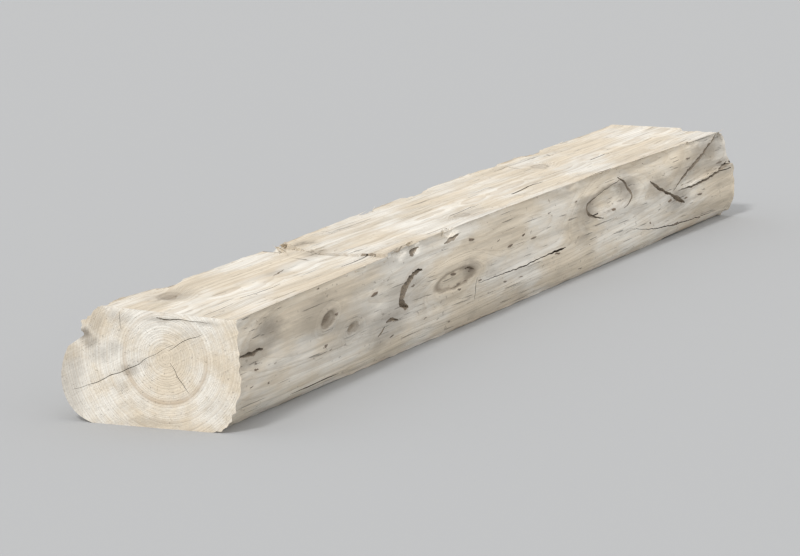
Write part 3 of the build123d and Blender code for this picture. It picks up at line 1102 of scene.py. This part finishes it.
splits = {  # the finish inside, the depth, and the path: where each point of it is, and the width there
    "right": [
        (torn, 0.014, (
            (0.01, 0.119, 0.002), (0.036, 0.117, 0.006), (0.066, 0.116, 0.008), (0.092, 0.117, 0.006),
            (0.11, 0.116, 0.002))),
        (torn, 0.018, (
            (0.806, 0.134, 0.003), (0.774, 0.134, 0.008), (0.742, 0.124, 0.012), (0.717, 0.113, 0.016),
            (0.698, 0.102, 0.02), (0.698, 0.092, 0.02), (0.714, 0.084, 0.012), (0.734, 0.08, 0.003))),
        (torn, 0.006, ((0.628, 0.071, 0.002), (0.652, 0.073, 0.008), (0.684, 0.067, 0.002))),
        (torn, 0.005, ((0.596, 0.051, 0.002), (0.608, 0.058, 0.007), (0.622, 0.064, 0.002))),
        (dark, 0.008, (
            (1.055, 0.071, 0.0006), (1.14, 0.07, 0.0014), (1.276, 0.067, 0.002), (1.38, 0.07, 0.0014),
            (1.425, 0.07, 0.0024), (1.462, 0.07, 0.006), (1.5, 0.069, 0.001))),
        (dark, 0.004, ((1.047, 0.083, 0.001), (1.04, 0.064, 0.0022), (1.036, 0.045, 0.001))),
        (torn, 0.006, ((0.992, 0.107, 0.001), (1.012, 0.105, 0.006), (1.034, 0.099, 0.002))),
        (torn, 0.006, (
            (1.7, 0.097, 0.001), (1.655, 0.104, 0.004), (1.608, 0.12, 0.009), (1.616, 0.133, 0.005),
            (1.69, 0.141, 0.002), (1.76, 0.148, 0.0014), (1.82, 0.155, 0.0014))),
        (torn, 0.006, (
            (1.812, 0.16, 0.002), (1.838, 0.15, 0.006), (1.854, 0.134, 0.006), (1.868, 0.117, 0.008),
            (1.852, 0.106, 0.003), (1.815, 0.1, 0.001))),
        (torn, 0.011, (
            (1.972, 0.131, 0.002), (1.992, 0.122, 0.007), (2.014, 0.112, 0.009), (2.045, 0.102, 0.005),
            (2.084, 0.089, 0.006), (2.117, 0.077, 0.013), (2.15, 0.067, 0.003))),
        (torn, 0.01, (
            (2.09, 0.096, 0.001), (2.136, 0.113, 0.004), (2.206, 0.131, 0.007), (2.275, 0.143, 0.01),
            (2.35, 0.158, 0.009), (2.38, 0.168, 0.005), (2.4, 0.181, 0.003))),
        (torn, 0.01, (
            (2.12, 0.094, 0.001), (2.205, 0.0925, 0.004), (2.287, 0.096, 0.005), (2.36, 0.104, 0.005),
            (2.404, 0.11, 0.005), (2.45, 0.115, 0.004))),
        (dark, 0.006, (
            (1.84, 0.056, 0.0004), (1.97, 0.037, 0.0014), (2.113, 0.026, 0.002), (2.25, 0.021, 0.0014),
            (2.37, 0.021, 0.0004))),
        (torn, 0.004, ((0.756, 0.164, 0.002), (0.78, 0.168, 0.006), (0.806, 0.171, 0.002))),
        (torn, 0.004, ((0.915, 0.16, 0.002), (0.948, 0.164, 0.006), (0.988, 0.168, 0.002))),
    ],
    "left": [
        (dark, 0.012, (
            (1.15, 0.128, 0.0005), (1.3, 0.131, 0.002), (1.48, 0.126, 0.0026), (1.7, 0.129, 0.0016),
            (1.86, 0.124, 0.0005))),
        (dark, 0.01, (
            (1.93, 0.052, 0.0005), (2.1, 0.049, 0.0018), (2.3, 0.053, 0.0024), (2.45, 0.05, 0.003))),
    ],
    "near": [
        (torn, 0.01, (
            (-0.0305, 0.133, 0.0003), (0.0055, 0.114, 0.0005), (0.0395, 0.093, 0.001),
            (0.0815, 0.075, 0.0011), (0.1175, 0.058, 0.0007), (0.1415, 0.05, 0.0003))),
        (torn, 0.004, (
            (-0.0015, 0.1725, 0.001), (-0.0095, 0.171, 0.0022), (-0.0265, 0.1715, 0.002),
            (-0.0465, 0.172, 0.0008), (-0.0645, 0.171, 0.001), (-0.0885, 0.17, 0.0004))),
        (dark, 0.01, ((0.0615, 0.178, 0.0003), (0.0605, 0.166, 0.0009), (0.0585, 0.15, 0.0003))),
        (dark, 0.012, ((-0.0245, 0.104, 0.0004), (-0.0385, 0.08, 0.0011), (-0.0565, 0.058, 0.0004))),
        (dark, 0.01, ((-0.0205, 0.122, 0.0004), (-0.0485, 0.14, 0.0009), (-0.0785, 0.152, 0.0004))),
    ],
    "far": [
        (dark, 0.026, (
            (-0.0185, 0.108, 0.0005), (-0.0645, 0.112, 0.002), (-0.1145, 0.113, 0.0034),
            (-0.1545, 0.111, 0.005), (-0.1695, 0.11, 0.005))),
        (dark, 0.02, ((-0.0125, 0.116, 0.0005), (0.0355, 0.132, 0.0018), (0.0855, 0.148, 0.0006))),
        (dark, 0.018, (
            (-0.0105, 0.106, 0.0005), (0.0355, 0.07, 0.0018), (0.0855, 0.046, 0.0012),
            (0.1155, 0.034, 0.0005))),
        (dark, 0.016, ((-0.0245, 0.104, 0.0005), (-0.0505, 0.066, 0.0014), (-0.0685, 0.034, 0.0005))),
    ],
    "top": [
        (torn, 0.005, (
            (0.652, 0.031, 0.001), (0.634, 0.014, 0.005), (0.62, -0.002, 0.006), (0.62, -0.0185, 0.003),
            (0.632, -0.0395, 0.0016), (0.643, -0.0665, 0.0016), (0.651, -0.0935, 0.0014),
            (0.657, -0.117, 0.0008))),
        (torn, 0.004, ((0.69, 0.064, 0.001), (0.712, 0.0585, 0.005), (0.738, 0.048, 0.001))),
        (clean, 0.014, (
            (0.618, -0.006, 0.003), (0.636, 0.0135, 0.01), (0.651, 0.0475, 0.02), (0.67, 0.08, 0.032),
            (0.68, 0.1, 0.04))),
        (torn, 0.003, ((0.392, -0.0255, 0.0006), (0.425, -0.0205, 0.0034), (0.46, -0.0155, 0.0006))),
        (torn, 0.004, ((0.682, -0.112, 0.001), (0.715, -0.11, 0.005), (0.75, -0.107, 0.001))),
    ],
}

pits = {  # where each is, and its size
    "right": (
        (0.157, 0.085, 0.008), (0.383, 0.067, 0.008), (0.661, 0.042, 0.012), (0.87, 0.037, 0.008),
        (0.81, 0.048, 0.009), (0.065, 0.063, 0.009), (1.17, 0.13, 0.01), (1.297, 0.122, 0.012),
        (1.434, 0.142, 0.01), (2.009, 0.071, 0.009),
    ),
    "near": (
        (0.0515, 0.115, 0.003), (0.0495, 0.081, 0.004), (0.1015, 0.084, 0.004), (0.1125, 0.059, 0.004),
        (-0.0255, 0.015, 0.003), (-0.0955, 0.041, 0.003), (-0.1015, 0.122, 0.003),
    ),
    "left": (
        (0.88, 0.14, 0.008), (1.42, 0.082, 0.009),
    ),
    "top": (
        (1.48, -0.0245, 0.004), (1.02, 0.0455, 0.003), (2.08, -0.0745, 0.004),
    ),
}

cutting = {
    "step": 0.004,  # between the points of a cut
    "rounding": 9,  # times that a path is smoothed
    "above": 0.006,  # how far a wedge stands out of the log
    "waver": 0.0016,  # how far a path strays sideways
    "ragged": 0.7,  # how uneven the lips and the depth are
    "thinnest": 0.0004,  # the least width of a cut
    "smallest": 200,  # faces; a loose bit with fewer is dropped
    "joins": 4,  # times that needless corners are looked for
    "notchLean": -0.4,  # how far the axe notch leans over, of its width
    "pitDepth": 0.7,  # of its size
    "pitSlope": 0.15,
    "pitOutline": ((-0.70, 0.10), (-0.45, 0.55), (0.0, 0.80), (0.40, 0.65), (0.70, 0.10)),  # along, width
    "firstSeed": 70,
}


def onFace(skin, face, place, height):  # the point on the skin, and whether there is skin
    start, way = rayways[face]
    way = Vector(way)
    start = Vector(start(place, height))
    if face not in ("near", "far"):
        start.x = min(max(start.x, nearEnd + 0.006), farEnd - 0.006)
    hit = skin.ray_cast(start, way)[0]
    point = np.array(start) * (1 - np.abs(way)) + (np.array(hit) * np.abs(way) if hit else 0)
    if face not in ("near", "far"):
        point[0] = nearEnd + place
    return point, hit is not None


def everyCut():  # the face, the finish inside, the depth and the path
    for face, cuts in splits.items():
        yield from ((face, *cut) for cut in cuts)
    for face, spots in pits.items():
        for place, height, size in spots:
            outline = [(along * size, width * size) for along, width in cutting["pitOutline"]]
            path = [(place + along, height + cutting["pitSlope"] * along, width) for along, width in outline]
            yield face, torn, cutting["pitDepth"] * size, path


def pathPoints(skin, face, path):
    path = np.array(path, float)
    lengths = np.concatenate([[0], np.cumsum(np.linalg.norm(np.diff(path[:, :2], axis=0), axis=1))])
    count = max(4, int(lengths[-1] / cutting["step"]) + 1)
    spots = np.linspace(0, lengths[-1], count)
    smoothed = np.stack([np.interp(spots, lengths, path[:, part]) for part in range(3)], axis=-1)
    for _ in range(cutting["rounding"]):
        smoothed[1:-1] = (smoothed[:-2] + 2 * smoothed[1:-1] + smoothed[2:]) / 4
    found = [onFace(skin, face, place, height) for place, height, _ in smoothed]
    kept = [index for index, (_, hit) in enumerate(found) if hit]
    points = np.array([found[index][0] for index in kept])
    return points, np.maximum(smoothed[kept, 2], cutting["thinnest"])


def raggedness(points, seed):
    return 0.6 * softNoise(points / 0.007, seed) + 0.5 * softNoise(points / 0.019, seed + 40)


def wedge(skin, face, inside, deepest, path, seed):  # a long wedge along a path, its sharp edge in the wood
    points, widths = pathPoints(skin, face, path)
    out = -np.array(rayways[face][1], float)
    tangent = np.gradient(points, axis=0)
    tangent -= out * (tangent @ out)[:, None]
    tangent /= np.linalg.norm(tangent, axis=1, keepdims=True)
    aside = np.cross(out, tangent)
    points = points + aside * (cutting["waver"] * softNoise(points / 0.018, seed))[:, None]
    lips = [widths / 2 * (1 + cutting["ragged"] * raggedness(points, seed + lip)) for lip in (1, 2)]
    depth = deepest * (0.25 + 0.75 * np.sqrt(widths / widths.max()))
    depth *= 1 + cutting["ragged"] * raggedness(points, seed + 3)
    flare = 1 + cutting["above"] / depth
    above = points + out * cutting["above"]
    sides = [above + aside * (way * lip * flare)[:, None] for way, lip in zip((1, -1), lips)]
    lean = cutting["notchLean"] if inside == clean else 0.0
    tip = points - out * depth[:, None] + aside * (widths * lean)[:, None]
    vertices = np.stack([*sides, tip], axis=1).reshape(-1, 3)
    last = 3 * (len(points) - 1)
    faces = [(2, 1, 0), (last, last + 1, last + 2)]
    for base, side in itertools.product(range(0, last, 3), range(3)):
        after = (side + 1) % 3
        faces.append((base + side, base + after, base + 3 + after, base + 3 + side))
    return vertices, faces


def cutterMesh(skin):
    vertices, faces, kinds = [], [], []
    for number, cut in enumerate(everyCut()):
        corners, sides = wedge(skin, *cut, cutting["firstSeed"] + 4 * number)
        start = sum(len(part) for part in vertices)
        vertices.append(corners)
        faces += [tuple(start + index for index in side) for side in sides]
        kinds += [cut[1]] * len(sides)
    mesh = bpy.data.meshes.new("cuts")
    mesh.from_pydata(np.concatenate(vertices).tolist(), [], faces)
    mesh.polygons.foreach_set("material_index", kinds)
    return mesh


def cutAway(thing, cutter):
    modifier = thing.modifiers.new("cut", "BOOLEAN")
    modifier.operation = "DIFFERENCE"
    modifier.solver = "MANIFOLD"
    modifier.material_mode = "TRANSFER"
    modifier.object = cutter
    bakeDown(thing)


def joinedFaces(start):  # all the faces that can be reached from one over its edges
    found, waiting = {start}, [start]
    while waiting:
        pairs = [edge.link_faces for edge in waiting.pop().edges if len(edge.link_faces) == 2]
        for face in itertools.chain.from_iterable(pairs):
            if face not in found:
                found.add(face)
                waiting.append(face)
    return found


def dropCrumbs(shape):  # the small bits that crossing cuts set free
    left, loose = set(shape.faces), []
    while left:
        bit = joinedFaces(next(iter(left)))
        left -= bit
        if len(bit) < cutting["smallest"]:
            loose += bit
    bmesh.ops.delete(shape, geom=loose, context="FACES")


def joinEdges(shape):  # takes out the needless corners between two faces, which leave stray triangles
    for _ in range(cutting["joins"]):
        needless = [corner for corner in shape.verts if len(corner.link_edges) == 2]
        bmesh.ops.dissolve_verts(shape, verts=needless)


def cleanUp(thing):
    shape = bmesh.new()
    shape.from_mesh(thing.data)
    dropCrumbs(shape)
    joinEdges(shape)
    shape.to_mesh(thing.data)
    shape.free()


def strewn(name, source, tree, values):  # a new object of what the tree strews over the source
    thing = makeObject(name, source.data.copy())
    addTree(thing, tree, values)
    bakeDown(thing)
    return thing


def makeLog():
    thing = makeObject("hewnLog", logMesh(), hewnFace, peeledSide, sawnEnd, splitInside, gashInside)
    relief = reliefTree()
    addTree(thing, relief, axeRelief)
    addTree(thing, relief, peelRelief)
    bakeDown(thing)
    print("relief cut:", len(thing.data.polygons), "faces")
    return thing


def cutSplits(thing, whole):
    skin = surfaceOf(whole.data)
    checks = strewnTree("dryingChecks", leafCone, splitInside, 0.02, sink=-0.80, cutter=True)
    nicks = strewnTree("axeNicks", leafCone, splitInside, 0.35, sink=-0.70, crossWay=3.0, cutter=True)
    cutters = [
        makeObject("cuts", cutterMesh(skin), splitInside, gashInside, hewnFace),
        strewn("faceChecks", whole, checks, faceChecks),
        strewn("sideChecks", whole, checks, sideChecks),
        strewn("axeNicks", whole, nicks, axeNicks),
    ]
    for cutter in cutters:
        cutAway(thing, cutter)
        bpy.data.objects.remove(cutter)
        print("cut:", len(thing.data.polygons), "faces")
    cleanUp(thing)


log = makeLog()
whole = makeObject("whole", log.data.copy())
cutSplits(log, whole)
shadeSmooth(log, 38)
lifted = strewn("liftedFibres", whole, strewnTree("woodFibres", sliver, hewnFace, 0.16), fibres)
patches = strewnTree("bastPatches", patch, bastScrap, 0.10, ragged=0.005)
bast = strewn("bastScraps", whole, patches, scraps)
shadeSmooth(bast, 60)
bpy.data.objects.remove(whole)
for piece in (log, lifted, bast):
    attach(piece, "root")
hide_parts("sleeper")
print("log ready:", {piece.name: len(piece.data.polygons) for piece in (log, lifted, bast)})
